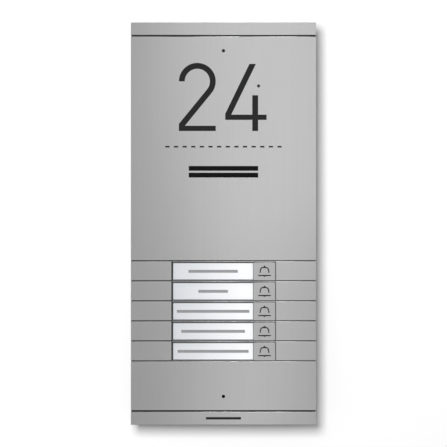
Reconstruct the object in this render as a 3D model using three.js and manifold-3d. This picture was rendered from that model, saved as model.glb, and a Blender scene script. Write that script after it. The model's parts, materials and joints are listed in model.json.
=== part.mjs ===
// A surface-mounted door intercom panel: a stack of folded stainless fronts with a house number, speaker
// slots and five call rows, on a carrier that is screwed to a shallow back box.
//
// Millimetres. +X is to the right, +Z is up and the front faces -Y, so the wall lies on the +Y side.
// The origin is the centre of the back box's wall face.
import * as THREE from "three";
import { mergeVertices } from "three/addons/utils/BufferGeometryUtils.js";
import Module from "manifold-3d";

const wasm = await Module();
wasm.setup();

// ---------- driving dimensions ----------
const PANEL_WIDTH = 185;
const PANEL_HEIGHT = 402;
const PANEL_DEPTH = 30;
const CLEARANCE = 0.3; // the air left between two pieces that touch

// The folded stainless fronts.
const SHEET = 1.2;
const BEND_RADIUS = 0.6; // on the outside; the inner corner is scored and sharp
const FLANGE_DEPTH = 5;
const TOP_STRIP_PITCH = 13.4; // from the panel's top to the middle of the groove below it
const BOTTOM_STRIP_PITCH = 13.8;
const END_GROOVE = 1.3;
const ROW_GROOVE = 0.65;

// The call rows.
const ROW_COUNT = 5;
const ROW_PITCH = 20;
const FIRST_ROW_TOP = -37.15;
const CALL_LEFT = -51;
const CALL_RIGHT = 52.3;
const TOOL_GAP = 1.0; // the slit at the left of the call frames that a label tool goes into
const RAIL_HEIGHT = 0.8;
const RAIL_RADIUS = 0.6;
const END_WALL = 0.3;
const LIP_HEIGHT = 0.5;
const LIP_DROP = 0.4; // how far the bottom lip stays behind the front face
const WEB = 2.1;

// The window, its label and the button of one call row.
const WINDOW_RIGHT = 29.6;
const WINDOW_THICKNESS = 1.6;
const WINDOW_RECESS = 0.6;
const WINDOW_PIN_RADIUS = 0.45;
const PIN_HOLE_RADIUS = 0.6;
const PIN_LENGTH = 0.6;
const LABEL_WIDTH = 79.7;
const LABEL_HEIGHT = 16.3;
const LABEL_RISE = 0.2; // from the window's bottom edge to the label's
const LABEL_INSET = 0.1; // from the window's right edge to the label's
const LABEL_THICKNESS = 0.3;
const BUTTON_WIDTH = 21.8;
const BUTTON_TOP_GAP = 0.5; // between the rail and the button's cap
const BUTTON_THICKNESS = 3;
const BUTTON_TRAVEL = 1.2;
const BUTTON_EDGE_RADIUS = 0.3;
const STEM_RADIUS = 2.5;
const COLLAR_RADIUS = 4.2;
const COLLAR_LENGTH = 1.2;

// The house number, cut through the upper front.
const DIGIT_BASE = 92.5;
const DIGIT_HEIGHT = 68;
const DIGIT_STROKE = 5.8;
const DIGIT_BAR = 5.2;
const TWO_LEFT = -44.5;
const TWO_WIDTH = 36.8;
const TWO_LEAN = THREE.MathUtils.degToRad(39.2); // the diagonal's angle from upright
const FOUR_LEFT = 1.8;
const FOUR_WIDTH = 41.3;
const FOUR_HEIGHT = 67;
const FOUR_LEAN = THREE.MathUtils.degToRad(25.9);
const FOUR_TOP_RIGHT = 30.6; // the diagonal's top right corner, from the digit's left
const FOUR_BAR_BASE = 11.1;
const FOUR_STEM_RIGHT = 32.8;
const FOUR_STEM_HEIGHT = 35.7;
const BACKING = 1.0;
const BACKING_MARGIN = 3.5;

// Speaker, microphone and fixing screws.
const SLOT_LENGTH = 69.3;
const SLOT_HEIGHT = 4.75;
const SLOT_PITCH = 6.75;
const SPEAKER_Z = 51.8;
const SPEAKER_RADIUS = 33;
const SPEAKER_DEPTH = 14;
const SPEAKER_WALL = 1;
const SPEAKER_FLANGE = 1.2;
const SPEAKER_RIM = 4.5; // the width of the flange's ring
const SPEAKER_HOLE_RADIUS = 30; // in the carrier
const CLOTH = 0.4;
const CLOTH_MARGIN = 4;
const CONE_RADIUS = 26.6;
const CONE_DEPTH = 7;
const CONE_PAPER = 0.6;
const COIL_RADIUS = 8;
const DOME_RISE = 2;
const MAGNET_RADIUS = 15;
const MAGNET_DEPTH = 7;
const MIC_X = 35.1;
const MIC_Z = 137.5;
const MIC_HOLE_RADIUS = 1.6;
const CAPSULE_RADIUS = 3;
const CAPSULE_DEPTH = 2.3;
const BOOT_RADIUS = 4.5;
const BOOT_FLOOR = 0.6;
const SCREW_Z = 172.6;
const SCREW_HOLE_RADIUS = 1.7;
const SCREW_HEAD_RADIUS = 2.75;
const SCREW_HEAD = 3;
const SCREW_RADIUS = 1.5;
const SCREW_LENGTH = 18;
const SOCKET_ACROSS_FLATS = 2.5;
const SOCKET_DEPTH = 1.6;

// Carrier, gasket and back box.
const CARRIER = 2;
const RIB = 3;
const GASKET = 1.5;
const BOX_INSET = 4;
const BOX_WALL = 1.5;
const BOX_LIP = 7;
const BOX_CORNER = 3;
const WALL_SCREW_RADIUS = 2.75;
const WALL_SCREW_X = 60;
const WALL_SCREW_Z = 150;
const POST_RADIUS = 4.5;
const ENTRY_X = -35;
const ENTRY_Z = -158;
const ENTRY_RADIUS = 10;
const GROMMET_FLANGE = 13;
const GROMMET_BORE = 7;
const GROMMET_FLANGE_THICKNESS = 1.5;

// Boards.
const BOARD = 1.6;
const SWITCH_HEIGHT = 5;
const SWITCH_BODY = 6;
const SWITCH_PLUNGER_RADIUS = 1.75;
const SWITCH_PLUNGER = 1.5;
const KEY_BOARD_WIDTH = 24;
const KEY_BOARD_MARGIN = 3;
const MAIN_BOARD_LEFT = -80;
const MAIN_BOARD_RIGHT = 20;
const MAIN_BOARD_TOP = -40;
const MAIN_BOARD_BOTTOM = -136;
const MAIN_BOARD_FRONT = -11;
const TERMINAL_COUNT = 8;
const TERMINAL_PITCH = 5;
const TERMINAL_HEIGHT = 9;
const TERMINAL_DEPTH = 10;
const TERMINAL_HOLE = 2.6;
const TERMINAL_WIRE_HEIGHT = 3; // of the wire holes over the board
const TERMINAL_SCREW_REACH = 7; // from the wire side to the screws
const TERMINAL_EDGE_GAP = 1;
const STANDOFF_RADIUS = 3;
const STANDOFF_INSET = 5;
const LOWER_POST_RISE = 20; // clear of the terminals
const LEAD_RADIUS = 0.9;
const LEAD_EDGE_GAP = 3.6; // where a lead comes down to the board, above its top edge
const LEAD_SLACK = 4.5; // how far behind the carrier a lead runs
const LEAD_OVERLAP = 10; // how far a lead reaches over the board that it is soldered to
const SPEAKER_LEAD_X = -20;
const MICROPHONE_LEAD_X = 4;
const RIBBON_WIDTH = 12;
const RIBBON_THICKNESS = 0.8;

// ---------- places that follow from the dimensions ----------
const FACE = -PANEL_DEPTH;
const SHEET_BACK = FACE + SHEET;
const HALF_WIDTH = PANEL_WIDTH / 2;
const HALF_HEIGHT = PANEL_HEIGHT / 2;
const TOP_GROOVE_Z = HALF_HEIGHT - TOP_STRIP_PITCH;
const BOTTOM_GROOVE_Z = BOTTOM_STRIP_PITCH - HALF_HEIGHT;
const LAST_ROW_BOTTOM = FIRST_ROW_TOP - ROW_COUNT * ROW_PITCH;
const HALF_ROW = (ROW_PITCH - ROW_GROOVE) / 2;
const BLANK_RIGHT_START = CALL_RIGHT + CLEARANCE;
const BLANK_LEFT_END = CALL_LEFT - TOOL_GAP;
const CARRIER_FRONT = FACE + FLANGE_DEPTH + CLEARANCE;
const CARRIER_BACK = CARRIER_FRONT + CARRIER;
const GASKET_FRONT = CARRIER_BACK + CLEARANCE;
const BOX_FRONT = GASKET_FRONT + GASKET + CLEARANCE;
const BOX_HALF_WIDTH = HALF_WIDTH - BOX_INSET;
const BOX_HALF_HEIGHT = HALF_HEIGHT - BOX_INSET;
const WINDOW_FRONT = FACE + WINDOW_RECESS;
const WINDOW_BACK = WINDOW_FRONT + WINDOW_THICKNESS;
const WINDOW_TOP = HALF_ROW - RAIL_HEIGHT - CLEARANCE; // from the row's centre
const WINDOW_BOTTOM = -(HALF_ROW - LIP_HEIGHT - CLEARANCE);
const PIN_X = WINDOW_RIGHT - WINDOW_THICKNESS / 2;
const PIN_Y = WINDOW_FRONT + WINDOW_THICKNESS / 2;
const FRAME_BACK = CARRIER_FRONT - CLEARANCE;
const WEB_FRONT = FRAME_BACK - WEB;
const LABEL_FRONT = (WINDOW_BACK + WEB_FRONT - LABEL_THICKNESS) / 2;
const BUTTON_LEFT = WINDOW_RIGHT + CLEARANCE;
const BUTTON_X = BUTTON_LEFT + BUTTON_WIDTH / 2;
const BUTTON_TOP = HALF_ROW - RAIL_HEIGHT - BUTTON_TOP_GAP; // from the row's centre
const BUTTON_BOTTOM = -HALF_ROW;
const BUTTON_Z = (BUTTON_TOP + BUTTON_BOTTOM) / 2;
const COLLAR_FRONT = CARRIER_BACK + CLEARANCE;
const COLLAR_BACK = COLLAR_FRONT + COLLAR_LENGTH;
const PLUNGER_FRONT = COLLAR_BACK + BUTTON_TRAVEL + CLEARANCE / 2;
const KEY_BOARD_FRONT = PLUNGER_FRONT + SWITCH_HEIGHT + CLEARANCE;
const MESH_FRONT = SHEET_BACK + CLEARANCE;
const PAST = 1; // how far a cutter or a joined shape runs past the face that it meets
const ROUND_SIDES = 32;
const SMALL_SIDES = 16;
const PIN_SIDES = 8;
const HEXAGON_SIDES = 6;
const BEND_SEGMENTS = 3;
const CORNER_SEGMENTS = 6;
const DIGIT_SEGMENTS = 12;
const LEAD_SEGMENTS = 4;
const LEAD_STEPS = 24;
const WELD_DISTANCE = 1e-4;

// ---------- materials ----------
function finish(color, roughness, metalness) {
  return new THREE.MeshStandardMaterial({ color, roughness, metalness });
}

const steel = finish(0xb9b9ba, 0.35, 1);
const darkMetal = finish(0x6d6e70, 0.45, 1);
const oxidisedSteel = finish(0x47474a, 0.5, 1);
const blackSteel = finish(0x1c1c1d, 0.6, 0);
const ferrite = finish(0x333335, 0.7, 0);
const satinAluminium = finish(0xa3a4a6, 0.4, 1);
const blackPlastic = finish(0x17181a, 0.55, 0);
const blackAcrylic = finish(0x101113, 0.2, 0);
const clearAcrylic = new THREE.MeshStandardMaterial({
  color: 0xf4f7fa,
  roughness: 0.08,
  metalness: 0,
  transparent: true,
  opacity: 0.3,
});
const labelPaper = finish(0xf0f1f5, 0.8, 0);
const blackRubber = finish(0x1b1b1c, 0.9, 0);
const circuitBoard = finish(0x1f5a37, 0.5, 0);
const terminalGreen = finish(0x3c8b4f, 0.5, 0);
const conePaper = finish(0x2a2a2b, 0.9, 0);
const meshCloth = finish(0x111112, 0.9, 0);
const greyCable = finish(0x8f9296, 0.6, 0);
const boxSteel = finish(0xa9abad, 0.5, 1);

// ---------- shape tools ----------
const panel = new THREE.Group();

function addPiece(name, geometry, material) {
  const mesh = new THREE.Mesh(geometry, material);
  mesh.name = name;
  panel.add(mesh);
  return mesh;
}

function toSolid(geometry) {
  const bare = geometry.clone();
  bare.deleteAttribute("normal");
  bare.deleteAttribute("uv");
  const merged = mergeVertices(bare, WELD_DISTANCE);
  return new wasm.Manifold(
    new wasm.Mesh({
      numProp: 3,
      vertProperties: merged.attributes.position.array,
      triVerts: new Uint32Array(merged.index.array),
    }),
  );
}

function toGeometry(solid) {
  const mesh = solid.getMesh();
  const geometry = new THREE.BufferGeometry();
  geometry.setAttribute("position", new THREE.BufferAttribute(mesh.vertProperties, 3));
  geometry.setIndex(new THREE.BufferAttribute(mesh.triVerts, 1));
  geometry.computeVertexNormals();
  return geometry;
}

function join(...geometries) {
  return toGeometry(geometries.map(toSolid).reduce((whole, next) => whole.add(next)));
}

function cut(geometry, ...tools) {
  return toGeometry(tools.map(toSolid).reduce((rest, tool) => rest.subtract(tool), toSolid(geometry)));
}

// A box between two corners.
function block([x0, x1], [y0, y1], [z0, z1]) {
  const geometry = new THREE.BoxGeometry(x1 - x0, y1 - y0, z1 - z0);
  return geometry.translate((x0 + x1) / 2, (y0 + y1) / 2, (z0 + z1) / 2);
}

// A round bar along Y, from yFront back to yBack.
function barAlongY(radius, x, z, yFront, yBack, sides = SMALL_SIDES) {
  const geometry = new THREE.CylinderGeometry(radius, radius, yBack - yFront, sides);
  return geometry.translate(x, (yFront + yBack) / 2, z);
}

// A shape drawn in X and Z, made thick along Y.
function plate(shape, yFront, yBack, curveSegments = CORNER_SEGMENTS) {
  const geometry = new THREE.ExtrudeGeometry(shape, {
    depth: yBack - yFront,
    bevelEnabled: false,
    curveSegments,
  });
  return geometry.rotateX(Math.PI / 2).translate(0, yBack, 0);
}

// A shape drawn in Y and Z, made long along X.
function beam(shape, xLeft, xRight) {
  const geometry = new THREE.ExtrudeGeometry(shape, {
    depth: xRight - xLeft,
    bevelEnabled: false,
    curveSegments: BEND_SEGMENTS,
  });
  const turn = new THREE.Matrix4().makeBasis(
    new THREE.Vector3(0, 1, 0),
    new THREE.Vector3(0, 0, 1),
    new THREE.Vector3(1, 0, 0),
  );
  return geometry.applyMatrix4(turn).translate(xLeft, 0, 0);
}

// A closed outline of [radius, y] points, turned about an axis along Y. The outline runs from the front to
// the back on its inner side and returns on its outer side, so it is reversed here for faces that point out.
function turned(outline, x, z) {
  const closed = [...outline, outline[0]].reverse();
  const points = closed.map(([radius, y]) => new THREE.Vector2(radius, y));
  return new THREE.LatheGeometry(points, ROUND_SIDES).translate(x, 0, z);
}

function roundedRectangle(halfWidth, halfHeight, radius) {
  const shape = new THREE.Shape();
  const quarter = Math.PI / 2;
  const corners = [
    [halfWidth - radius, halfHeight - radius],
    [radius - halfWidth, halfHeight - radius],
    [radius - halfWidth, radius - halfHeight],
    [halfWidth - radius, radius - halfHeight],
  ];
  corners.forEach(([x, z], i) => shape.absarc(x, z, radius, i * quarter, (i + 1) * quarter, false));
  shape.closePath();
  return shape;
}

// ---------- folded fronts ----------
// The section of a sheet whose top and bottom edges are bent back.
function foldedSection(zLow, zHigh) {
  const shape = new THREE.Shape();
  const bendY = FACE + BEND_RADIUS;
  const flangeEnd = FACE + FLANGE_DEPTH;
  const half = Math.PI;
  shape.absarc(bendY, zHigh - BEND_RADIUS, BEND_RADIUS, half / 2, half, false);
  shape.absarc(bendY, zLow + BEND_RADIUS, BEND_RADIUS, half, 1.5 * half, false);
  shape.lineTo(flangeEnd, zLow);
  shape.lineTo(flangeEnd, zLow + SHEET);
  shape.lineTo(SHEET_BACK, zLow + SHEET);
  shape.lineTo(SHEET_BACK, zHigh - SHEET);
  shape.lineTo(flangeEnd, zHigh - SHEET);
  shape.lineTo(flangeEnd, zHigh);
  shape.closePath();
  return shape;
}

// The height of each full-width front, and of each row, as [low, high].
const upperSpan = [FIRST_ROW_TOP + ROW_GROOVE / 2, TOP_GROOVE_Z - END_GROOVE / 2];
const lowerSpan = [BOTTOM_GROOVE_Z + END_GROOVE / 2, LAST_ROW_BOTTOM - ROW_GROOVE / 2];
const topStripSpan = [TOP_GROOVE_Z + END_GROOVE / 2, HALF_HEIGHT];
const bottomStripSpan = [-HALF_HEIGHT, BOTTOM_GROOVE_Z - END_GROOVE / 2];
const rowCentres = Array.from({ length: ROW_COUNT }, (_, i) => FIRST_ROW_TOP - (i + 0.5) * ROW_PITCH);
const rowSpans = rowCentres.map((z) => [z - HALF_ROW, z + HALF_ROW]);

function foldedFront([zLow, zHigh], xLeft = -HALF_WIDTH, xRight = HALF_WIDTH) {
  return beam(foldedSection(zLow, zHigh), xLeft, xRight);
}

// ---------- house number ----------
function digitTwo() {
  const shape = new THREE.Shape();
  const radius = TWO_WIDTH / 2;
  const centreX = TWO_LEFT + radius;
  const centreZ = DIGIT_BASE + DIGIT_HEIGHT - radius;
  const innerRadius = radius - DIGIT_STROKE;
  const right = TWO_LEFT + TWO_WIDTH;
  const barTop = DIGIT_BASE + DIGIT_BAR;
  // Where the diagonal's two edges leave the arcs, they are tangent to them.
  const edge = (r) => [centreX + r * Math.cos(TWO_LEAN), centreZ - r * Math.sin(TWO_LEAN)];
  const [outerX, outerZ] = edge(radius);
  const [innerX, innerZ] = edge(innerRadius);
  const notchX = outerX - (outerZ - barTop) * Math.tan(TWO_LEAN);
  const leftZ = innerZ - (innerX - TWO_LEFT) / Math.tan(TWO_LEAN);
  shape.absarc(centreX, centreZ, radius, Math.PI, -TWO_LEAN, true);
  shape.lineTo(notchX, barTop);
  shape.lineTo(right, barTop);
  shape.lineTo(right, DIGIT_BASE);
  shape.lineTo(TWO_LEFT, DIGIT_BASE);
  shape.lineTo(TWO_LEFT, leftZ);
  shape.absarc(centreX, centreZ, innerRadius, -TWO_LEAN, Math.PI, false);
  shape.closePath();
  return shape;
}

// A four whose diagonal and stem don't meet at the top, so the cut leaves no island.
function digitFour() {
  const shape = new THREE.Shape();
  const top = DIGIT_BASE + FOUR_HEIGHT;
  const barBase = DIGIT_BASE + FOUR_BAR_BASE;
  const barTop = barBase + DIGIT_BAR;
  const right = FOUR_LEFT + FOUR_WIDTH;
  const stemRight = FOUR_LEFT + FOUR_STEM_RIGHT;
  const stemLeft = stemRight - DIGIT_STROKE;
  const run = Math.tan(FOUR_LEAN);
  const topRight = FOUR_LEFT + FOUR_TOP_RIGHT;
  const topLeft = topRight - DIGIT_STROKE / Math.cos(FOUR_LEAN);
  shape.moveTo(topLeft, top);
  shape.lineTo(FOUR_LEFT, top - (topLeft - FOUR_LEFT) / run);
  shape.lineTo(FOUR_LEFT, barBase);
  shape.lineTo(stemLeft, barBase);
  shape.lineTo(stemLeft, DIGIT_BASE);
  shape.lineTo(stemRight, DIGIT_BASE);
  shape.lineTo(stemRight, barBase);
  shape.lineTo(right, barBase);
  shape.lineTo(right, barTop);
  shape.lineTo(stemRight, barTop);
  shape.lineTo(stemRight, DIGIT_BASE + FOUR_STEM_HEIGHT);
  shape.lineTo(stemLeft, DIGIT_BASE + FOUR_STEM_HEIGHT);
  shape.lineTo(stemLeft, barTop);
  shape.lineTo(topRight - (top - barTop) * run, barTop);
  shape.lineTo(topRight, top);
  shape.closePath();
  return shape;
}

// ---------- fronts ----------
function screwHole(z) {
  return barAlongY(SCREW_HOLE_RADIUS, 0, z, FACE - PAST, SHEET_BACK + PAST);
}

function speakerSlot(z) {
  return block(
    [-SLOT_LENGTH / 2, SLOT_LENGTH / 2],
    [FACE - PAST, SHEET_BACK + PAST],
    [z - SLOT_HEIGHT / 2, z + SLOT_HEIGHT / 2],
  );
}

function addFullWidthFronts() {
  const throughFront = (shape) => plate(shape, FACE - PAST, SHEET_BACK + PAST, DIGIT_SEGMENTS);
  const upper = cut(
    foldedFront(upperSpan),
    throughFront(digitTwo()),
    throughFront(digitFour()),
    speakerSlot(SPEAKER_Z + SLOT_PITCH / 2),
    speakerSlot(SPEAKER_Z - SLOT_PITCH / 2),
    barAlongY(MIC_HOLE_RADIUS, MIC_X, MIC_Z, FACE - PAST, SHEET_BACK + PAST),
    screwHole(SCREW_Z),
  );
  addPiece("top_end_strip", foldedFront(topStripSpan), steel);
  addPiece("upper_faceplate", upper, steel);
  addPiece("lower_faceplate", cut(foldedFront(lowerSpan), screwHole(-SCREW_Z)), steel);
  addPiece("bottom_end_strip", foldedFront(bottomStripSpan), steel);
}

function addNumberBacking() {
  const left = TWO_LEFT - BACKING_MARGIN;
  const right = FOUR_LEFT + FOUR_WIDTH + BACKING_MARGIN;
  const low = DIGIT_BASE - BACKING_MARGIN;
  const high = DIGIT_BASE + DIGIT_HEIGHT + BACKING_MARGIN;
  const sheet = block([left, right], [MESH_FRONT, MESH_FRONT + BACKING], [low, high]);
  const bootHole = barAlongY(
    BOOT_RADIUS + CLEARANCE,
    MIC_X,
    MIC_Z,
    MESH_FRONT - PAST,
    MESH_FRONT + BACKING + PAST,
    ROUND_SIDES,
  );
  addPiece("number_backing", cut(sheet, bootHole), blackAcrylic);
}

// ---------- call rows ----------
// The section of a call frame: a rail at the top that bends back like the fronts, a web behind the label,
// and a low lip at the bottom. The opening for the button leaves only the rail above it.
function callFrameSection(z) {
  const shape = new THREE.Shape();
  const top = z + HALF_ROW;
  const bottom = z - HALF_ROW;
  const lipFront = FACE + LIP_DROP;
  shape.absarc(FACE + RAIL_RADIUS, top - RAIL_RADIUS, RAIL_RADIUS, Math.PI / 2, Math.PI, false);
  shape.lineTo(FACE, top - RAIL_HEIGHT);
  shape.lineTo(WEB_FRONT, top - RAIL_HEIGHT);
  shape.lineTo(WEB_FRONT, bottom + LIP_HEIGHT);
  shape.lineTo(lipFront, bottom + LIP_HEIGHT);
  shape.lineTo(lipFront, bottom);
  shape.lineTo(FRAME_BACK, bottom);
  shape.lineTo(FRAME_BACK, top);
  shape.closePath();
  return shape;
}

function pinBar(radius, zLow, zHigh) {
  const geometry = new THREE.CylinderGeometry(radius, radius, zHigh - zLow, PIN_SIDES);
  return geometry.rotateX(Math.PI / 2).translate(PIN_X, PIN_Y, (zLow + zHigh) / 2);
}

function callFrame(z) {
  const keyOpening = block(
    [WINDOW_RIGHT, BUTTON_LEFT + BUTTON_WIDTH + CLEARANCE],
    [FACE - PAST, FRAME_BACK + PAST],
    [z - HALF_ROW - PAST, z + HALF_ROW - RAIL_HEIGHT],
  );
  const pinHoles = [
    pinBar(PIN_HOLE_RADIUS, z + WINDOW_TOP, z + WINDOW_TOP + CLEARANCE * 2 + PIN_LENGTH),
    pinBar(PIN_HOLE_RADIUS, z - HALF_ROW - PAST, z + WINDOW_BOTTOM),
  ];
  const rails = beam(callFrameSection(z), CALL_LEFT, CALL_RIGHT - END_WALL / 2);
  const endWall = block(
    [CALL_RIGHT - END_WALL, CALL_RIGHT],
    [FACE + CLEARANCE, FRAME_BACK],
    [z - HALF_ROW, z + HALF_ROW - BEND_RADIUS],
  );
  return cut(join(rails, endWall), keyOpening, ...pinHoles);
}

// The window swings on two pins at its right edge, which is round about the pins' axis.
function nameWindow(z) {
  const left = CALL_LEFT + TOOL_GAP / 2;
  const radius = WINDOW_THICKNESS / 2;
  const outline = new THREE.Shape();
  outline.absarc(PIN_X, PIN_Y, radius, -Math.PI / 2, Math.PI / 2, false);
  outline.lineTo(left, WINDOW_BACK);
  outline.lineTo(left, WINDOW_FRONT);
  outline.closePath();
  const pane = new THREE.ExtrudeGeometry(outline, {
    depth: WINDOW_TOP - WINDOW_BOTTOM,
    bevelEnabled: false,
    curveSegments: CORNER_SEGMENTS,
  });
  pane.translate(0, 0, z + WINDOW_BOTTOM);
  const reach = CLEARANCE + PIN_LENGTH;
  const topPin = pinBar(WINDOW_PIN_RADIUS, z + WINDOW_TOP - PAST, z + WINDOW_TOP + reach);
  const bottomPin = pinBar(WINDOW_PIN_RADIUS, z + WINDOW_BOTTOM - reach, z + WINDOW_BOTTOM + PAST);
  return join(pane, topPin, bottomPin);
}

function nameLabel(z) {
  const right = WINDOW_RIGHT - LABEL_INSET;
  const low = z + WINDOW_BOTTOM + LABEL_RISE;
  return block(
    [right - LABEL_WIDTH, right],
    [LABEL_FRONT, LABEL_FRONT + LABEL_THICKNESS],
    [low, low + LABEL_HEIGHT],
  );
}

// The cap with a rounded rim, its stem, and the collar that stops it behind the carrier.
function callButton(z) {
  const rim = BUTTON_EDGE_RADIUS;
  const cap = new THREE.ExtrudeGeometry(
    roundedRectangle(BUTTON_WIDTH / 2 - rim, (BUTTON_TOP - BUTTON_BOTTOM) / 2 - rim, rim),
    {
      depth: BUTTON_THICKNESS - 2 * rim,
      bevelThickness: rim,
      bevelSize: rim,
      bevelSegments: 2,
      curveSegments: 1,
    },
  );
  cap.rotateX(Math.PI / 2).translate(BUTTON_X, FACE + BUTTON_THICKNESS - rim, z + BUTTON_Z);
  const stem = barAlongY(STEM_RADIUS, BUTTON_X, z + BUTTON_Z, FACE + BUTTON_THICKNESS - PAST, COLLAR_BACK);
  const collar = barAlongY(COLLAR_RADIUS, BUTTON_X, z + BUTTON_Z, COLLAR_FRONT, COLLAR_BACK);
  return join(cap, stem, collar);
}

function keySwitch(z) {
  const half = SWITCH_BODY / 2;
  const bodyFront = PLUNGER_FRONT + SWITCH_PLUNGER;
  const back = PLUNGER_FRONT + SWITCH_HEIGHT;
  const centreZ = z + BUTTON_Z;
  const body = block(
    [BUTTON_X - half, BUTTON_X + half],
    [bodyFront, back],
    [centreZ - half, centreZ + half],
  );
  return join(body, barAlongY(SWITCH_PLUNGER_RADIUS, BUTTON_X, centreZ, PLUNGER_FRONT, bodyFront + PAST));
}

function addCallRows() {
  rowCentres.forEach((z, i) => {
    const row = i + 1;
    addPiece(`blank_left_${row}`, foldedFront(rowSpans[i], -HALF_WIDTH, BLANK_LEFT_END), steel);
    addPiece(`blank_right_${row}`, foldedFront(rowSpans[i], BLANK_RIGHT_START, HALF_WIDTH), steel);
    addPiece(`call_frame_${row}`, callFrame(z), darkMetal);
    addPiece(`name_label_${row}`, nameLabel(z), labelPaper);
    addPiece(`name_window_${row}`, nameWindow(z), clearAcrylic);
    addPiece(`call_button_${row}`, callButton(z), steel);
    addPiece(`key_switch_${row}`, keySwitch(z), blackPlastic);
  });
}

// ---------- speaker and microphone ----------
function addSpeaker() {
  const clothHalfWidth = SLOT_LENGTH / 2 + CLOTH_MARGIN;
  const clothHalfHeight = (SLOT_PITCH + SLOT_HEIGHT) / 2 + CLOTH_MARGIN;
  const mesh = block(
    [-clothHalfWidth, clothHalfWidth],
    [MESH_FRONT, MESH_FRONT + CLOTH],
    [SPEAKER_Z - clothHalfHeight, SPEAKER_Z + clothHalfHeight],
  );
  const sealFront = MESH_FRONT + CLOTH + CLEARANCE;
  const sealBack = sealFront + SPEAKER_WALL;
  const flangeFront = sealBack + CLEARANCE;
  const flangeBack = flangeFront + SPEAKER_FLANGE;
  const basketBack = flangeFront + SPEAKER_DEPTH;
  const throat = SPEAKER_RADIUS - SPEAKER_RIM;
  const wall = SPEAKER_WALL;
  const seal = [
    [throat + wall, sealFront],
    [throat + wall, sealBack],
    [SPEAKER_RADIUS, sealBack],
    [SPEAKER_RADIUS, sealFront],
  ];
  const basket = [
    [SPEAKER_RADIUS, flangeFront],
    [throat, flangeFront],
    [MAGNET_RADIUS - wall, basketBack - wall],
    [STANDOFF_RADIUS, basketBack - wall],
    [STANDOFF_RADIUS, basketBack],
    [MAGNET_RADIUS, basketBack],
    [throat + wall, flangeBack],
    [SPEAKER_RADIUS, flangeBack],
  ];
  const paper = CONE_PAPER;
  const coneFront = flangeFront + CLEARANCE;
  const coneBack = coneFront + CONE_DEPTH;
  const domeFront = coneBack - DOME_RISE;
  const cone = [
    [0, domeFront],
    [0, domeFront + paper],
    [COIL_RADIUS - 2 * paper, coneBack + paper],
    [COIL_RADIUS, coneBack + paper],
    [CONE_RADIUS, coneFront + paper],
    [CONE_RADIUS, coneFront],
    [COIL_RADIUS, coneBack],
    [COIL_RADIUS - 2 * paper, coneBack - paper],
  ];
  addPiece("speaker_mesh", mesh, meshCloth);
  addPiece("speaker_seal", turned(seal, 0, SPEAKER_Z), blackRubber);
  addPiece("speaker_basket", turned(basket, 0, SPEAKER_Z), blackSteel);
  addPiece("speaker_cone", turned(cone, 0, SPEAKER_Z), conePaper);
  const magnetFront = basketBack + CLEARANCE;
  addPiece(
    "speaker_magnet",
    barAlongY(MAGNET_RADIUS, 0, SPEAKER_Z, magnetFront, magnetFront + MAGNET_DEPTH, ROUND_SIDES),
    ferrite,
  );
}

// The capsule sits in a rubber cup whose small hole lies behind the front's hole.
function addMicrophone() {
  const cupFront = MESH_FRONT;
  const cupFloor = cupFront + BOOT_FLOOR;
  const capsuleFront = cupFloor + CLEARANCE;
  const cupBack = CARRIER_FRONT - CLEARANCE;
  const bore = CAPSULE_RADIUS + CLEARANCE / 2;
  const cup = [
    [MIC_HOLE_RADIUS, cupFront],
    [MIC_HOLE_RADIUS, cupFloor],
    [bore, cupFloor],
    [bore, cupBack],
    [BOOT_RADIUS, cupBack],
    [BOOT_RADIUS, cupFront],
  ];
  addPiece("microphone_boot", turned(cup, MIC_X, MIC_Z), blackRubber);
  const capsule = barAlongY(CAPSULE_RADIUS, MIC_X, MIC_Z, capsuleFront, capsuleFront + CAPSULE_DEPTH);
  addPiece("microphone", capsule, satinAluminium);
}

// ---------- carrier ----------
// Ribs that fill the open ends of each folded front, so that the fronts snap over them.
function carrierRibs() {
  const ribFront = SHEET_BACK + CLEARANCE;
  const spans = [topStripSpan, upperSpan, ...rowSpans, lowerSpan, bottomStripSpan];
  return spans.flatMap(([zLow, zHigh]) =>
    [-1, 1].map((side) => {
      const outer = side * (HALF_WIDTH - CLEARANCE);
      const inner = outer - side * RIB;
      return block(
        [Math.min(inner, outer), Math.max(inner, outer)],
        [ribFront, CARRIER_FRONT + PAST],
        [zLow + SHEET + CLEARANCE, zHigh - SHEET - CLEARANCE],
      );
    }),
  );
}

// The places of the posts that hold the two boards, as [x, z, front face of the board].
function standoffs() {
  const mainXs = [MAIN_BOARD_LEFT + STANDOFF_INSET, MAIN_BOARD_RIGHT - STANDOFF_INSET];
  const mainZs = [MAIN_BOARD_TOP - STANDOFF_INSET, MAIN_BOARD_BOTTOM + LOWER_POST_RISE];
  const main = mainXs.flatMap((x) => mainZs.map((z) => [x, z, MAIN_BOARD_FRONT]));
  const between = [0, ROW_COUNT - 2].map((i) => (rowCentres[i] + rowCentres[i + 1]) / 2 + BUTTON_Z);
  return [...main, ...between.map((z) => [BUTTON_X, z, KEY_BOARD_FRONT])];
}

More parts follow.
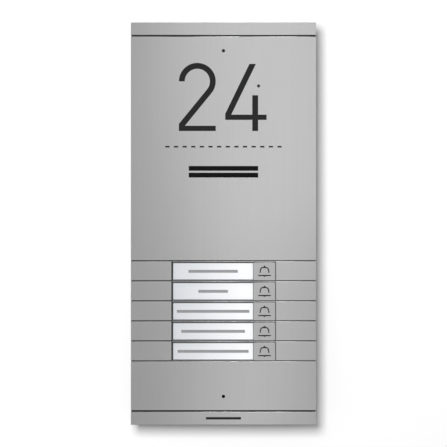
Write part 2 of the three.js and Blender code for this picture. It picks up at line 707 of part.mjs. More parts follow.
function addCarrier() {
  const halfHeight = HALF_HEIGHT - SHEET - CLEARANCE;
  const sheet = block(
    [-HALF_WIDTH + CLEARANCE, HALF_WIDTH - CLEARANCE],
    [CARRIER_FRONT, CARRIER_BACK],
    [-halfHeight, halfHeight],
  );
  const posts = standoffs().map(([x, z, boardFront]) =>
    barAlongY(STANDOFF_RADIUS, x, z, CARRIER_BACK - PAST, boardFront - CLEARANCE),
  );
  const through = (radius, x, z, sides) =>
    barAlongY(radius, x, z, CARRIER_FRONT - PAST, CARRIER_BACK + PAST, sides);
  const holes = [
    through(SPEAKER_HOLE_RADIUS, 0, SPEAKER_Z, ROUND_SIDES),
    through(CAPSULE_RADIUS, MIC_X, MIC_Z),
    ...[-1, 1].map((side) => through(SCREW_RADIUS + CLEARANCE, 0, side * SCREW_Z)),
    ...rowCentres.map((z) => through(STEM_RADIUS + CLEARANCE, BUTTON_X, z + BUTTON_Z)),
  ];
  addPiece("carrier_frame", cut(join(sheet, ...carrierRibs(), ...posts), ...holes), blackPlastic);
}

// ---------- boards and leads ----------
function addBoards() {
  const keyHalf = KEY_BOARD_WIDTH / 2;
  const keyBoard = block(
    [BUTTON_X - keyHalf, BUTTON_X + keyHalf],
    [KEY_BOARD_FRONT, KEY_BOARD_FRONT + BOARD],
    [LAST_ROW_BOTTOM + KEY_BOARD_MARGIN, FIRST_ROW_TOP - KEY_BOARD_MARGIN],
  );
  addPiece("key_board", keyBoard, circuitBoard);
  const mainBoard = block(
    [MAIN_BOARD_LEFT, MAIN_BOARD_RIGHT],
    [MAIN_BOARD_FRONT, MAIN_BOARD_FRONT + BOARD],
    [MAIN_BOARD_BOTTOM, MAIN_BOARD_TOP],
  );
  addPiece("main_board", mainBoard, circuitBoard);
  addTerminalBlock();
}

// A row of screw terminals whose wire holes face down, towards the cable entry.
function addTerminalBlock() {
  const width = TERMINAL_COUNT * TERMINAL_PITCH;
  const left = ENTRY_X - width / 2;
  const back = MAIN_BOARD_FRONT - CLEARANCE;
  const low = MAIN_BOARD_BOTTOM + TERMINAL_EDGE_GAP;
  const body = block([left, left + width], [back - TERMINAL_HEIGHT, back], [low, low + TERMINAL_DEPTH]);
  const half = TERMINAL_HOLE / 2;
  const holes = Array.from({ length: TERMINAL_COUNT }, (_, i) => {
    const x = left + (i + 0.5) * TERMINAL_PITCH;
    const wireY = back - TERMINAL_WIRE_HEIGHT;
    const depth = TERMINAL_DEPTH / 2;
    const wire = block([x - half, x + half], [wireY - half, wireY + half], [low - PAST, low + depth]);
    const screwFront = back - TERMINAL_HEIGHT;
    const screwZ = low + TERMINAL_SCREW_REACH;
    return [wire, barAlongY(half, x, screwZ, screwFront - PAST, screwFront + half, PIN_SIDES)];
  });
  addPiece("terminal_block", cut(body, ...holes.flat()), terminalGreen);
}

// A round wire through a list of [x, y, z] points.
function lead(points) {
  const route = new THREE.CatmullRomCurve3(points.map((p) => new THREE.Vector3(...p)));
  const section = new THREE.Shape().absarc(0, 0, LEAD_RADIUS, 0, 2 * Math.PI, false);
  return new THREE.ExtrudeGeometry(section, {
    steps: LEAD_STEPS,
    curveSegments: LEAD_SEGMENTS,
    extrudePath: route,
  });
}

function addLeads() {
  const overBoard = MAIN_BOARD_FRONT - 2 * LEAD_RADIUS - CLEARANCE;
  const free = CARRIER_BACK + LEAD_SLACK;
  const boardEdge = MAIN_BOARD_TOP + LEAD_EDGE_GAP;
  const solderZ = MAIN_BOARD_TOP - LEAD_OVERLAP;
  const betweenZ = (SPEAKER_Z + MAIN_BOARD_TOP) / 2;
  const speakerLead = lead([
    [SPEAKER_LEAD_X, free, SPEAKER_Z - CONE_RADIUS],
    [SPEAKER_LEAD_X, free + LEAD_RADIUS, betweenZ],
    [SPEAKER_LEAD_X, overBoard - LEAD_RADIUS, boardEdge],
    [SPEAKER_LEAD_X, overBoard, solderZ],
  ]);
  const besideSpeaker = SPEAKER_RADIUS + LEAD_OVERLAP;
  const microphoneLead = lead([
    [MIC_X, CARRIER_BACK + CLEARANCE, MIC_Z],
    [MIC_X + LEAD_RADIUS, free, MIC_Z - LEAD_OVERLAP],
    [besideSpeaker, free, SPEAKER_Z + MAGNET_RADIUS],
    [besideSpeaker, free, SPEAKER_Z - MAGNET_RADIUS],
    [MAIN_BOARD_RIGHT, free, betweenZ],
    [MICROPHONE_LEAD_X, overBoard - LEAD_RADIUS, boardEdge],
    [MICROPHONE_LEAD_X, overBoard, solderZ],
  ]);
  addPiece("speaker_lead", speakerLead, greyCable);
  addPiece("microphone_lead", microphoneLead, greyCable);
}

// The flat cable runs from the main board's back to the key board's back, with a step between the two.
function addRibbon() {
  const z = (rowCentres[1] + rowCentres[2]) / 2;
  const mainY = MAIN_BOARD_FRONT + BOARD + CLEARANCE;
  const keyY = KEY_BOARD_FRONT + BOARD + CLEARANCE;
  const start = MAIN_BOARD_RIGHT - 2 * STANDOFF_INSET;
  const end = BUTTON_X - STANDOFF_INSET;
  const shape = new THREE.Shape();
  shape.moveTo(start, mainY);
  shape.lineTo(MAIN_BOARD_RIGHT + PAST, mainY);
  shape.lineTo(BUTTON_X - KEY_BOARD_WIDTH / 2 - PAST, keyY);
  shape.lineTo(end, keyY);
  shape.lineTo(end, keyY + RIBBON_THICKNESS);
  shape.lineTo(BUTTON_X - KEY_BOARD_WIDTH / 2 - PAST, keyY + RIBBON_THICKNESS);
  shape.lineTo(MAIN_BOARD_RIGHT + PAST, mainY + RIBBON_THICKNESS);
  shape.lineTo(start, mainY + RIBBON_THICKNESS);
  shape.closePath();
  const ribbon = new THREE.ExtrudeGeometry(shape, { depth: RIBBON_WIDTH, bevelEnabled: false });
  addPiece("key_ribbon", ribbon.translate(0, 0, z - RIBBON_WIDTH / 2), greyCable);
}

// ---------- back box, gasket and screws ----------
function addGasket() {
  const halfWidth = BOX_HALF_WIDTH;
  const halfHeight = BOX_HALF_HEIGHT;
  const ring = roundedRectangle(halfWidth, halfHeight, BOX_CORNER);
  const inner = roundedRectangle(halfWidth - BOX_LIP, halfHeight - BOX_LIP, BOX_CORNER);
  const back = GASKET_FRONT + GASKET;
  const gasket = cut(plate(ring, GASKET_FRONT, back), plate(inner, GASKET_FRONT - PAST, back + PAST));
  addPiece("box_gasket", gasket, blackRubber);
}

function addBackBox() {
  const outer = plate(roundedRectangle(BOX_HALF_WIDTH, BOX_HALF_HEIGHT, BOX_CORNER), BOX_FRONT, 0);
  const hollow = plate(
    roundedRectangle(BOX_HALF_WIDTH - BOX_WALL, BOX_HALF_HEIGHT - BOX_WALL, BOX_CORNER - BOX_WALL),
    BOX_FRONT + BOX_WALL,
    -BOX_WALL,
  );
  const mouth = plate(
    roundedRectangle(BOX_HALF_WIDTH - BOX_LIP, BOX_HALF_HEIGHT - BOX_LIP, BOX_CORNER),
    BOX_FRONT - PAST,
    BOX_FRONT + BOX_WALL + PAST,
  );
  const wallHoles = [-1, 1].flatMap((sideX) =>
    [-1, 1].map((sideZ) =>
      barAlongY(WALL_SCREW_RADIUS, sideX * WALL_SCREW_X, sideZ * WALL_SCREW_Z, -BOX_WALL - PAST, PAST),
    ),
  );
  const entry = barAlongY(ENTRY_RADIUS, ENTRY_X, ENTRY_Z, -BOX_WALL - PAST, PAST, ROUND_SIDES);
  const posts = [-1, 1].map((side) => barAlongY(POST_RADIUS, 0, side * SCREW_Z, BOX_FRONT, -BOX_WALL / 2));
  const boreDepth = SCREW_LENGTH - PAST;
  const bores = [-1, 1].map((side) =>
    barAlongY(SCREW_RADIUS + CLEARANCE, 0, side * SCREW_Z, BOX_FRONT - PAST, BOX_FRONT + boreDepth),
  );
  const shell = cut(outer, hollow, mouth, ...wallHoles, entry);
  addPiece("back_box", cut(join(shell, ...posts), ...bores), boxSteel);
}

function addGrommet() {
  const neckRadius = ENTRY_RADIUS - CLEARANCE;
  const flangeBack = -BOX_WALL - CLEARANCE;
  const flangeFront = flangeBack - GROMMET_FLANGE_THICKNESS;
  const outline = [
    [GROMMET_BORE, flangeFront],
    [GROMMET_BORE, -CLEARANCE],
    [neckRadius, -CLEARANCE],
    [neckRadius, flangeBack],
    [GROMMET_FLANGE, flangeBack],
    [GROMMET_FLANGE, flangeFront],
  ];
  addPiece("cable_grommet", turned(outline, ENTRY_X, ENTRY_Z), blackRubber);
}

// A socket-head screw whose head lies headGap behind the front sheet.
function frontScrew(z, headGap) {
  const headFront = SHEET_BACK + headGap;
  const headBack = headFront + SCREW_HEAD;
  const socketRadius = SOCKET_ACROSS_FLATS / Math.sqrt(3);
  const head = barAlongY(SCREW_HEAD_RADIUS, 0, z, headFront, headBack, ROUND_SIDES);
  const shank = barAlongY(SCREW_RADIUS, 0, z, headBack - PAST, headBack + SCREW_LENGTH);
  const socket = barAlongY(socketRadius, 0, z, headFront - PAST, headFront + SOCKET_DEPTH, HEXAGON_SIDES);
  return cut(join(head, shank), socket);
}

function addScrews() {
  addPiece("front_screw_top", frontScrew(SCREW_Z, CLEARANCE), oxidisedSteel);
  addPiece("front_screw_bottom", frontScrew(-SCREW_Z, 2 * CLEARANCE), blackSteel);
}

addFullWidthFronts();
addNumberBacking();
addCallRows();
addSpeaker();
addMicrophone();
addCarrier();
addBoards();
addLeads();
addRibbon();
addGasket();
addBackBox();
addGrommet();
addScrews();

export default panel;
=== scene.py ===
"""The looks of a door intercom panel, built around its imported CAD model.

Metres. +X is to the right, +Z is up and the front faces -Y.
"""

import json
import math

import bmesh
import bpy
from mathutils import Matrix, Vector

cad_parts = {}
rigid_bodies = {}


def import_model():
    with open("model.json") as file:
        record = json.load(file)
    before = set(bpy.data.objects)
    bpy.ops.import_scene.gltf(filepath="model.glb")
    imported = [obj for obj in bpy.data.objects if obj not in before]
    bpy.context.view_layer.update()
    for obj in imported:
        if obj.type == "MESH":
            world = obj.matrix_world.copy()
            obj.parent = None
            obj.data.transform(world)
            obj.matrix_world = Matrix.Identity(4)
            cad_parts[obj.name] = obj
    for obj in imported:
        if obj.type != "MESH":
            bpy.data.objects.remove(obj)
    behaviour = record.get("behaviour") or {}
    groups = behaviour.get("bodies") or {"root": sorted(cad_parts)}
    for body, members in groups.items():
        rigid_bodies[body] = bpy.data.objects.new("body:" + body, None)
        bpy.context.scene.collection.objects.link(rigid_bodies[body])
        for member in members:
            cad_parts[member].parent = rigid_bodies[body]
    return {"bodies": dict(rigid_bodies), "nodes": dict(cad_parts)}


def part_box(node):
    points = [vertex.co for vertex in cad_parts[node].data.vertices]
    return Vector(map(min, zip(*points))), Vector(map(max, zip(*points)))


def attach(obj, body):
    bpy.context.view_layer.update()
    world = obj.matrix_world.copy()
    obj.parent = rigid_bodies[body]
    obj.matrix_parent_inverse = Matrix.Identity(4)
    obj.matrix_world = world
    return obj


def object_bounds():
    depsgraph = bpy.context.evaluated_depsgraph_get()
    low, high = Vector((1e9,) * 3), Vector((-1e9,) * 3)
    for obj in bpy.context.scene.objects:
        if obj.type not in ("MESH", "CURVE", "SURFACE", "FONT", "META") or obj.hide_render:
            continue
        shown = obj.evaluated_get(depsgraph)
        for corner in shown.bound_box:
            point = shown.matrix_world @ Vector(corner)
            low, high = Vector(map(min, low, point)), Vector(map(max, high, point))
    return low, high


MM = 0.001

# The steel's brushing.
STEEL_ROUGHNESS = 0.36
BEND_ROUGHNESS = 0.12
SCRATCH_GRAIN = (5200.0, 5200.0, 40.0)  # features per metre along x, y and z
SCRATCH_DEPTH = 0.0007 * MM
OUTER_BEND = 4 * MM  # bends less than this from the panel's top or bottom lose their polish

# The rounding of the CAD pieces' edges.
EDGE_ROUNDING = 0.12 * MM
THIN_EDGE_ROUNDING = 0.05 * MM
THIN_SLOTS = ("label_card", "speaker_cloth", "speaker_paper")
SHARP_ANGLE = math.radians(35)

# The printed signs.
PRINT_THICKNESS = 0.05 * MM
BELL_LINE = 1.15 * MM
BELL_MOUTH = 4.4 * MM  # half the width at its open end
BELL_HEIGHT = 5.4 * MM
BELL_TAPER = 0.12
BELL_SQUARENESS = 3.8
BELL_FOOT_LENGTH = 12.6 * MM
BELL_DOT_RADIUS = 0.9 * MM  # the knob and the clapper
BELL_STEPS = 24
BELL_SHIFT_X = 0.2 * MM  # from the button's centre
BELL_SHIFT_Z = 0.5 * MM
NAME_BAR_SHARES = (0.62, 0.37, 0.91, 0.80, 0.89)  # of the card's width, from the top row down
NAME_BAR_HEIGHT = 2.9 * MM
STREET_DASHES = 14
STREET_WIDTH = 112 * MM  # between the first and the last dash's centres
STREET_Z = 76.8 * MM
STREET_DASH_LENGTH = 4.2 * MM
STREET_DASH_HEIGHT = 1.6 * MM
MAKER_LINE_LENGTH = 35 * MM
MAKER_LINE_HEIGHT = 2.4 * MM

# The picture.
PICTURE_SHARE = 1.1105  # the picture's height over the panel's
CAMERA_X = 0.05 * MM
CAMERA_Z = 0.12 * MM

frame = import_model()
cad_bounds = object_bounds()
row_count = sum(body.startswith("button_") for body in frame["bodies"])

panel_low, panel_high = cad_bounds
panel_height = panel_high.z - panel_low.z
face_y = panel_low.y


# ---------- material tools ----------
class Look:
    """A material with one Principled shader and the procedural nodes that feed it."""

    def __init__(self, name, roughness=0.5, metallic=0.0):
        self.material = bpy.data.materials.new(name)
        self.material.use_nodes = True
        self.nodes = self.material.node_tree.nodes
        self.links = self.material.node_tree.links
        self.shader = self.nodes["Principled BSDF"]
        self.shader.inputs["Roughness"].default_value = roughness
        self.shader.inputs["Metallic"].default_value = metallic
        coordinates = self.nodes.new("ShaderNodeTexCoord")
        self.place = coordinates.outputs["Object"]
        self.facing = coordinates.outputs["Normal"]

    def noise(self, stretch, detail=3.0):
        """Noise between 0 and 1 with stretch features per metre along x, y and z."""
        mapping = self.nodes.new("ShaderNodeMapping")
        mapping.inputs["Scale"].default_value = stretch
        self.links.new(self.place, mapping.inputs["Vector"])
        texture = self.nodes.new("ShaderNodeTexNoise")
        texture.inputs["Scale"].default_value = 1.0
        texture.inputs["Detail"].default_value = detail
        self.links.new(mapping.outputs["Vector"], texture.inputs["Vector"])
        return texture.outputs["Fac"]

    def axis(self, letter, vector=None):
        """One coordinate of the point in metres, or of another vector."""
        split = self.nodes.new("ShaderNodeSeparateXYZ")
        self.links.new(vector or self.place, split.inputs["Vector"])
        return split.outputs[letter]

    def math(self, operation, first, second=0.0):
        node = self.nodes.new("ShaderNodeMath")
        node.operation = operation
        for socket, value in zip(node.inputs, (first, second)):
            if isinstance(value, (int, float)):
                socket.default_value = value
            else:
                self.links.new(value, socket)
        return node.outputs["Value"]

    def spread(self, value, low, high, start=0.0, end=1.0):
        """value carried from start..end to low..high, and held at both ends."""
        node = self.nodes.new("ShaderNodeMapRange")
        node.inputs["From Min"].default_value = start
        node.inputs["From Max"].default_value = end
        node.inputs["To Min"].default_value = low
        node.inputs["To Max"].default_value = high
        self.links.new(value, node.inputs["Value"])
        return node.outputs["Result"]

    def blend(self, amount, first, second):
        """The colour between first and second at amount."""
        node = self.nodes.new("ShaderNodeMix")
        node.data_type = "RGBA"
        self.links.new(amount, node.inputs["Factor"])
        for socket, value in ((node.inputs["A"], first), (node.inputs["B"], second)):
            if isinstance(value, tuple):
                socket.default_value = (*value, 1.0)
            else:
                self.links.new(value, socket)
        return node.outputs["Result"]

    def color(self, value):
        self.links.new(value, self.shader.inputs["Base Color"])

    def drive(self, socket, value):
        self.links.new(value, self.shader.inputs[socket])

    def mix_shaders(self, amount, first, second):
        """Shows the shader between first and second at amount."""
        choice = self.nodes.new("ShaderNodeMixShader")
        self.links.new(amount, choice.inputs["Fac"])
        self.links.new(first, choice.inputs[1])
        self.links.new(second, choice.inputs[2])
        self.links.new(choice.outputs["Shader"], self.nodes["Material Output"].inputs["Surface"])

    def bump(self, height, depth):
        """Raises the surface by depth metres where height is 1."""
        node = self.nodes.new("ShaderNodeBump")
        node.inputs["Strength"].default_value = 1.0
        node.inputs["Distance"].default_value = depth
        self.links.new(height, node.inputs["Height"])
        self.links.new(node.outputs["Normal"], self.shader.inputs["Normal"])


def gray(value):
    """A neutral linear colour of that brightness."""
    return (value, value, value)


def speckled(name, dark, light, roughness, grain, relief, metallic=0.0, shine=0.5):
    """A look whose colour, roughness and relief all follow one noise of grain features per metre."""
    look = Look(name, metallic=metallic)
    look.shader.inputs["Specular IOR Level"].default_value = shine
    spots = look.noise((grain, grain, grain))
    look.color(look.blend(spots, dark, light))
    look.drive("Roughness", look.spread(spots, roughness - 0.08, roughness + 0.08))
    look.bump(spots, relief)
    return look.material


def bend_polish(look):
    """1 on metal that faces up or down, such as the bends beside the grooves, but 0 near the panel's ends."""
    bent = look.spread(look.math("ABSOLUTE", look.axis("Z", look.facing)), 0.0, 1.0, 0.06, 0.2)
    off_middle = look.math("ABSOLUTE", look.axis("Z"))
    edge_z = panel_high.z - OUTER_BEND
    inside = look.spread(off_middle, 1.0, 0.0, edge_z, edge_z + 1 * MM)
    return look.math("MULTIPLY", bent, inside)


def brushed_steel(name, dark, light):
    """Stainless steel brushed along z: fine scratches over broad, faint streaks, with polished bends."""
    look = Look(name, metallic=1.0)
    scratches = look.noise(SCRATCH_GRAIN, detail=2.0)
    streaks = look.noise((620.0, 620.0, 5.0))
    clouds = look.noise((14.0, 14.0, 9.0))
    tone = look.math("ADD", look.math("MULTIPLY", streaks, 0.5), look.math("MULTIPLY", clouds, 0.5))
    look.color(look.blend(look.spread(tone, 0.0, 1.0, 0.25, 0.75), dark, light))
    satin = look.spread(scratches, STEEL_ROUGHNESS - 0.05, STEEL_ROUGHNESS + 0.05, 0.3, 0.7)
    polish = look.spread(bend_polish(look), 1.0, BEND_ROUGHNESS / STEEL_ROUGHNESS)
    look.drive("Roughness", look.math("MULTIPLY", satin, polish))
    look.bump(scratches, SCRATCH_DEPTH)
    return look.material


def frame_metal():
    """The call frame: satin rails with a bright bend, and painted shade that turns everything deeper in dark
    and matte.
    """
    look = Look("frame_metal")
    scratches = look.noise(SCRATCH_GRAIN, detail=2.0)
    # Painted shade: surfaces more than half a millimetre behind the face turn dark, standing in for the shade
    # inside the recess.
    recess_shade = look.spread(look.axis("Y"), 0.0, 1.0, face_y + 0.5 * MM, face_y + 0.8 * MM)
    rail = look.blend(scratches, gray(0.46), gray(0.52))
    look.color(look.blend(recess_shade, rail, gray(0.08)))
    look.drive("Metallic", look.spread(recess_shade, 1.0, 0.0))
    satin = look.spread(bend_polish(look), STEEL_ROUGHNESS, BEND_ROUGHNESS)
    look.drive("Roughness", look.math("MAXIMUM", satin, look.spread(recess_shade, 0.0, 0.6)))
    look.bump(scratches, SCRATCH_DEPTH)
    return look.material


def window_clear():
    """Thin clear acrylic: it mirrors a little, more at a slant, and its sawn edges are frosted."""
    look = Look("window_clear")
    smudges = look.noise((90.0, 90.0, 90.0))
    frost = look.noise((2500.0, 2500.0, 2500.0))
    turned = look.math("ABSOLUTE", look.axis("Y", look.facing))
    edge = look.spread(turned, 1.0, 0.0, 0.1, 0.3)
    look.color(look.blend(edge, gray(0.97), (0.62, 0.72, 0.78)))
    look.drive("Metallic", look.math("SUBTRACT", 1.0, edge))
    polished = look.spread(smudges, 0.04, 0.10)
    look.drive("Roughness", look.math("MAXIMUM", polished, look.math("MULTIPLY", edge, 0.5)))
    look.bump(frost, 0.001 * MM)
    clear = look.nodes.new("ShaderNodeBsdfTransparent")
    clear.inputs["Color"].default_value = (0.990, 0.992, 0.995, 1.0)
    slant = look.nodes.new("ShaderNodeFresnel")
    slant.inputs["IOR"].default_value = 1.49
    mirror = look.spread(slant.outputs["Fac"], 0.02, 0.20, 0.04, 0.6)
    shown = look.math("MAXIMUM", mirror, look.math("MULTIPLY", edge, 0.7))
    look.mix_shaders(shown, clear.outputs["BSDF"], look.shader.outputs["BSDF"])
    return look.material


def label_card():
    """White card with painted shade: it turns grayer towards its left end."""
    look = Look("label_card")
    low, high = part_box("name_label_1")
    fibres = look.noise((2600.0, 2600.0, 1500.0))
    # Painted shade: the card's colour darkens towards its left end, standing in for less light falling there.
    across = look.spread(look.axis("X"), 0.0, 1.0, low.x, high.x - (high.x - low.x) / 8)
    paper = look.blend(across, (0.60, 0.61, 0.635), gray(0.86))
    shaded_fleck = look.blend(across, (0.64, 0.65, 0.67), gray(0.90))
    look.color(look.blend(fibres, paper, shaded_fleck))
    look.drive("Roughness", look.spread(fibres, 0.7, 0.85))
    look.bump(fibres, 0.006 * MM)
    return look.material


def speaker_cloth():
    """Woven cloth: threads cross every 0.6 mm."""
    look = Look("speaker_cloth")
    pitch = 0.6 * MM
    across = look.math("SINE", look.math("MULTIPLY", look.axis("X"), 2 * math.pi / pitch))
    along = look.math("SINE", look.math("MULTIPLY", look.axis("Z"), 2 * math.pi / pitch))
    weave = look.spread(look.math("MULTIPLY", across, along), 0.0, 1.0, -1.0, 1.0)
    look.color(look.blend(weave, gray(0.002), gray(0.010)))
    look.shader.inputs["Specular IOR Level"].default_value = 0.15
    look.drive("Roughness", look.spread(weave, 0.95, 0.8))
    look.bump(weave, 0.08 * MM)
    return look.material


def circuit_board():
    """Green board with the shine of copper tracks under the lacquer."""
    look = Look("circuit_board")
    tracks = look.nodes.new("ShaderNodeTexBrick")
    tracks.inputs["Scale"].default_value = 60.0
    tracks.inputs["Mortar Size"].default_value = 0.03
    look.links.new(look.place, tracks.inputs["Vector"])
    spots = look.noise((300.0, 300.0, 300.0))
    lacquer = look.blend(spots, (0.012, 0.085, 0.035), (0.02, 0.12, 0.05))
    look.color(look.blend(tracks.outputs["Fac"], lacquer, (0.05, 0.19, 0.06)))
    look.drive("Roughness", look.spread(spots, 0.3, 0.45))
    look.bump(spots, 0.02 * MM)
    return look.material


def number_black():
    """Black that shines a little, with some dust on it."""
    look = Look("number_black")
    dust = look.noise((450.0, 450.0, 450.0))
    look.color(look.blend(dust, gray(0.004), gray(0.009)))
    look.shader.inputs["Specular IOR Level"].default_value = 0.35
    look.drive("Roughness", look.spread(dust, 0.40, 0.52))
    look.bump(dust, 0.004 * MM)
    return look.material


def capsule_metal():
    """A bright can with a dark felt disc on its front."""
    look = Look("capsule_metal")
    low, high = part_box("microphone")
    fibres = look.noise((3000.0, 3000.0, 3000.0))
    can = look.spread(look.axis("Y"), 0.0, 1.0, low.y + 0.05 * MM, low.y + 0.1 * MM)
    felt = look.blend(fibres, gray(0.030), gray(0.060))
    look.color(look.blend(can, felt, gray(0.55)))
    look.drive("Metallic", can)
    look.drive("Roughness", look.spread(can, 0.9, 0.35))
    look.bump(fibres, 0.02 * MM)
    return look.material


looks = {
    "front_steel": brushed_steel("front_steel", gray(0.66), gray(0.70)),
    "button_steel": brushed_steel("button_steel", gray(0.62), gray(0.66)),
    "frame_metal": frame_metal(),
    "window_clear": window_clear(),
    "label_card": label_card(),
    "number_black": number_black(),
    "speaker_cloth": speaker_cloth(),
    "black_rubber": speckled("black_rubber", gray(0.010), gray(0.020), 0.85, 900.0, 0.03 * MM),
    "speaker_metal": speckled("speaker_metal", gray(0.012), gray(0.022), 0.35, 500.0, 0.01 * MM),
    "speaker_paper": speckled("speaker_paper", gray(0.018), gray(0.035), 0.88, 1400.0, 0.05 * MM),
    "speaker_ferrite": speckled("speaker_ferrite", gray(0.025), gray(0.045), 0.6, 700.0, 0.02 * MM),
    "capsule_metal": capsule_metal(),
    "carrier_plastic": speckled("carrier_plastic", gray(0.012), gray(0.022), 0.55, 1600.0, 0.02 * MM),
    "circuit_board": circuit_board(),
    "terminal_plastic": speckled(
        "terminal_plastic", (0.03, 0.17, 0.06), (0.04, 0.21, 0.075), 0.5, 1200.0, 0.01 * MM
    ),
    "switch_black": speckled("switch_black", gray(0.012), gray(0.022), 0.5, 1600.0, 0.01 * MM),
    "lead_grey": speckled("lead_grey", gray(0.24), gray(0.30), 0.55, 900.0, 0.01 * MM),
    "box_metal": speckled("box_metal", gray(0.42), gray(0.50), 0.48, 1300.0, 0.03 * MM),
    # Painted shade: both screws are far darker than bare steel, and the black one darker still, standing in
    # for the shade in the holes they sit in.
    "screw_steel": speckled("screw_steel", gray(0.05), gray(0.08), 0.5, 1500.0, 0.004 * MM, 1.0),
    "screw_black": speckled("screw_black", gray(0.002), gray(0.005), 0.7, 1500.0, 0.004 * MM, 0.0, 0.1),
}


# ---------- the CAD pieces ----------
def soften(piece, width):
    """Gives a CAD piece the small rounding that a real edge has, and smooth bends."""
    piece.data.attributes.remove(piece.data.attributes["custom_normal"])
    piece.data.polygons.foreach_set("use_smooth", [True] * len(piece.data.polygons))
    weld = piece.modifiers.new("weld", "WELD")
    weld.merge_threshold = 0.001 * MM
    bevel = piece.modifiers.new("soft edges", "BEVEL")
    bevel.width = width
    bevel.segments = 2
    bevel.limit_method = "ANGLE"
    bevel.angle_limit = SHARP_ANGLE
    level = piece.modifiers.new("flat faces", "WEIGHTED_NORMAL")
    level.weight = 100


def dress_cad_nodes():
    for name, piece in frame["nodes"].items():
        slot = piece.data.materials[0].name.split(".")[0]
        piece.data.materials.clear()
        piece.data.materials.append(looks[slot])
        soften(piece, THIN_EDGE_ROUNDING if slot in THIN_SLOTS else EDGE_ROUNDING)


dress_cad_nodes()


# ---------- thin printed pieces ----------
def disc(x, z, radius, sides=20):
    """A circle's outline."""
    turns = (2 * math.pi * side / sides for side in range(sides))
    return [(x + radius * math.cos(turn), z + radius * math.sin(turn)) for turn in turns]


def bar(x, z, length, height):
    """A rectangle's outline around its centre."""
    half_length, half_height = length / 2, height / 2
    return [
        (x - half_length, z - half_height),
        (x + half_length, z - half_height),
        (x + half_length, z + half_height),
        (x - half_length, z + half_height),
    ]


def stroke(points, width):
    """The outline of a line of that width through points."""
    left, right = [], []
    for index, (x, z) in enumerate(points):
        before = points[max(index - 1, 0)]
        after = points[min(index + 1, len(points) - 1)]
        along = (Vector(after) - Vector(before)).normalized()
        side = Vector((-along.y, along.x)) * width / 2
        left.append((x + side.x, z + side.y))
        right.append((x - side.x, z - side.y))
    return left + right[::-1]


def print_on(name, outlines, surface_y, body, slot):
    """A thin inlay whose outlines stand on a surface that faces -Y."""
    shape = bmesh.new()
    for outline in outlines:
        corners = [shape.verts.new((x, surface_y, z)) for x, z in outline]
        face = shape.faces.new(corners)
        raised = bmesh.ops.extrude_face_region(shape, geom=[face])["geom"]
        moved = [part for part in raised if isinstance(part, bmesh.types.BMVert)]
        bmesh.ops.translate(shape, vec=(0, -PRINT_THICKNESS, 0), verts=moved)
    bmesh.ops.recalc_face_normals(shape, faces=shape.faces)
    mesh = bpy.data.meshes.new(name)
    shape.to_mesh(mesh)
    shape.free()
    mesh.materials.append(looks[slot])
    piece = bpy.data.objects.new(name, mesh)
    bpy.context.scene.collection.objects.link(piece)
    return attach(piece, body)


def bell_outlines(x, z):
    """A generic bell sign: a square-shouldered body, a knob, a foot line and a clapper."""
    mouth_z = z - 1.9 * MM
    foot_z = z - 4.5 * MM
    knob_z = mouth_z + BELL_HEIGHT + 0.85 * MM
    clapper_z = foot_z - 0.6 * MM
    power = 2 / BELL_SQUARENESS
    body = []
    for step in range(BELL_STEPS + 1):
        turn = math.pi * (1 - step / BELL_STEPS)
        rise = math.sin(turn) ** power
        reach = math.copysign(abs(math.cos(turn)) ** power, math.cos(turn))
        body.append((x + BELL_MOUTH * reach * (1 - BELL_TAPER * rise), mouth_z + BELL_HEIGHT * rise))
    return [
        stroke(body, BELL_LINE),
        disc(x, knob_z, BELL_DOT_RADIUS),
        bar(x, foot_z, BELL_FOOT_LENGTH, BELL_LINE),
        disc(x, clapper_z, BELL_DOT_RADIUS),
    ]


def add_bells():
    """A bell sign on each button."""
    for row in range(1, row_count + 1):
        low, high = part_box(f"call_button_{row}")
        center = (low + high) / 2
        outlines = bell_outlines(center.x + BELL_SHIFT_X, center.z + BELL_SHIFT_Z)
        print_on(f"bell_sign_{row}", outlines, low.y, f"button_{row}", "number_black")


def add_label_prints():
    """A plain bar stands for each name."""
    for row, share in zip(range(1, row_count + 1), NAME_BAR_SHARES):
        low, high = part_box(f"name_label_{row}")
        center = (low + high) / 2
        outline = bar(center.x, center.z, share * (high.x - low.x), NAME_BAR_HEIGHT)
        print_on(f"label_print_{row}", [outline], low.y, "panel", "lead_grey")


def add_street_dashes():
    """A row of plain dashes under the house number."""
    last = STREET_DASHES - 1
    pitch = STREET_WIDTH / last
    centers = [(index - last / 2) * pitch for index in range(STREET_DASHES)]
    dashes = [bar(x, STREET_Z, STREET_DASH_LENGTH, STREET_DASH_HEIGHT) for x in centers]
    print_on("street_dashes", dashes, face_y, "panel", "number_black")


def add_maker_line():
    """A plain line in the middle of the bottom strip."""
    low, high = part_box("bottom_end_strip")
    center = (low + high) / 2
    line = bar(center.x, center.z, MAKER_LINE_LENGTH, MAKER_LINE_HEIGHT)
    print_on("maker_line", [line], face_y, "panel", "number_black")


add_bells()
add_label_prints()
add_street_dashes()
add_maker_line()


# ---------- camera ----------
def add_camera():
    """Straight at the front from afar, as a product picture is taken."""
    picture_height = PICTURE_SHARE * panel_height
    data = bpy.data.cameras.new("camera")
    data.lens = 200
    data.sensor_width = 36
    camera = bpy.data.objects.new("camera", data)
    distance = picture_height * data.lens / data.sensor_width
    camera.location = (CAMERA_X, face_y - distance, CAMERA_Z)
    camera.rotation_euler = (math.radians(90), 0, 0)
    bpy.context.scene.collection.objects.link(camera)
    bpy.context.scene.camera = camera


add_camera()


# ---------- stage and light ----------
def backdrop_material():
    """Matte white seen from the front only, so the wall doesn't hide the panel's back."""
    look = Look("backdrop", roughness=0.9)
    look.shader.inputs["Base Color"].default_value = (0.92, 0.92, 0.92, 1)
    clear = look.nodes.new("ShaderNodeBsdfTransparent")
    side = look.nodes.new("ShaderNodeNewGeometry")
    look.mix_shaders(side.outputs["Backfacing"], look.shader.outputs["BSDF"], clear.outputs["BSDF"])
    return look.material


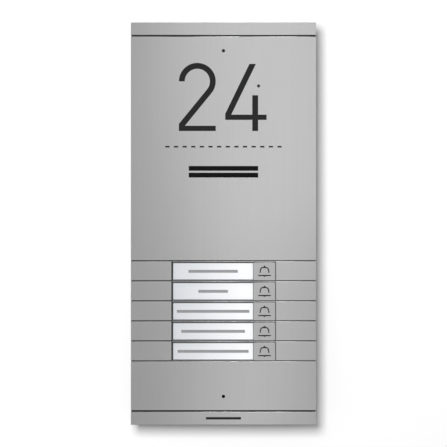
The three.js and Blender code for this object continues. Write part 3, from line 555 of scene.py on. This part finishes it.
def add_backdrop():
    """A wall just behind the panel that curves into a floor below it."""
    half_width, top, reach = 3.0, 2.5, 4.0
    wall_y = panel_high.y + 0.5 * MM
    floor_z = panel_low.z - 0.3
    curve = 0.2
    profile = [(wall_y, top)]
    steps = 12
    for step in range(steps + 1):
        turn = math.pi / 2 * step / steps
        y = wall_y - curve * (1 - math.cos(turn))
        profile.append((y, floor_z + curve * (1 - math.sin(turn))))
    profile.append((wall_y - reach, floor_z))
    vertices = [(x, y, z) for y, z in profile for x in (-half_width, half_width)]
    faces = [(2 * i, 2 * i + 2, 2 * i + 3, 2 * i + 1) for i in range(len(profile) - 1)]
    mesh = bpy.data.meshes.new("backdrop")
    mesh.from_pydata(vertices, [], faces)
    mesh.materials.append(backdrop_material())
    backdrop = bpy.data.objects.new("backdrop", mesh)
    bpy.context.scene.collection.objects.link(backdrop)
    backdrop.visible_diffuse = False
    backdrop.visible_glossy = False
    backdrop.visible_transmission = False
    backdrop.visible_shadow = False


def add_softbox(name, place, target, size, watts):
    data = bpy.data.lights.new(name, "AREA")
    data.shape = "RECTANGLE"
    data.size, data.size_y = size
    data.energy = watts
    light = bpy.data.objects.new(name, data)
    light.location = place
    light.rotation_euler = (Vector(target) - Vector(place)).to_track_quat("-Z", "Y").to_euler()
    light.visible_camera = False
    bpy.context.scene.collection.objects.link(light)
    return light


def add_lights():
    """A key from the upper left for the matte surfaces and the wall's shadow, and the rest for the metal."""
    key = add_softbox("key", (-0.36, -2.0, 0.42), (0, 0, 0), (0.74, 0.84), 38)
    key.visible_glossy = False
    middle = (0, face_y, 0)
    metal_lights = [
        add_softbox("upper_glow", (0.053, face_y - 0.375, 0.163), middle, (0.24, 0.364), 0.15),
        add_softbox("lower_glow", (0.032, face_y - 0.35, -0.139), middle, (0.107, 0.349), 0.06),
    ]
    for side in (-1, 1):
        place = (side * 1.2, face_y - 1.2, -0.2)
        metal_lights.append(add_softbox(f"side_fill_{side}", place, middle, (0.9, 1.6), 3.0))
    # Lamps overhead for the bends beside the grooves: place along x, width, and power, found by trial.
    lamps = ((-0.093, 0.035, 0.05), (-0.018, 0.024, 0.10), (0.012, 0.009, 0.15), (0.073, 0.045, 0.25))
    for index, (x, width, watts) in enumerate(lamps, start=1):
        place, target = (x, face_y - 0.2, 0.75), (x, face_y, 0)
        metal_lights.append(add_softbox(f"lamp_{index}", place, target, (width, 0.4), watts))
    for light in metal_lights:
        light.visible_diffuse = False


def add_world():
    """Even studio light, with a white background where the camera sees past the backdrop."""
    world = bpy.data.worlds.new("studio")
    world.use_nodes = True
    nodes, links = world.node_tree.nodes, world.node_tree.links
    ambient = nodes["Background"]
    ambient.inputs["Color"].default_value = (1, 1, 1, 1)
    ambient.inputs["Strength"].default_value = 0.37
    seen = nodes.new("ShaderNodeBackground")
    seen.inputs["Color"].default_value = (0.95, 0.95, 0.95, 1)
    seen.inputs["Strength"].default_value = 1.0
    path = nodes.new("ShaderNodeLightPath")
    choice = nodes.new("ShaderNodeMixShader")
    links.new(path.outputs["Is Camera Ray"], choice.inputs["Fac"])
    links.new(ambient.outputs["Background"], choice.inputs[1])
    links.new(seen.outputs["Background"], choice.inputs[2])
    links.new(choice.outputs["Shader"], nodes["World Output"].inputs["Surface"])
    bpy.context.scene.world = world


add_backdrop()
add_lights()
add_world()
bpy.context.scene.view_settings.view_transform = "Standard"
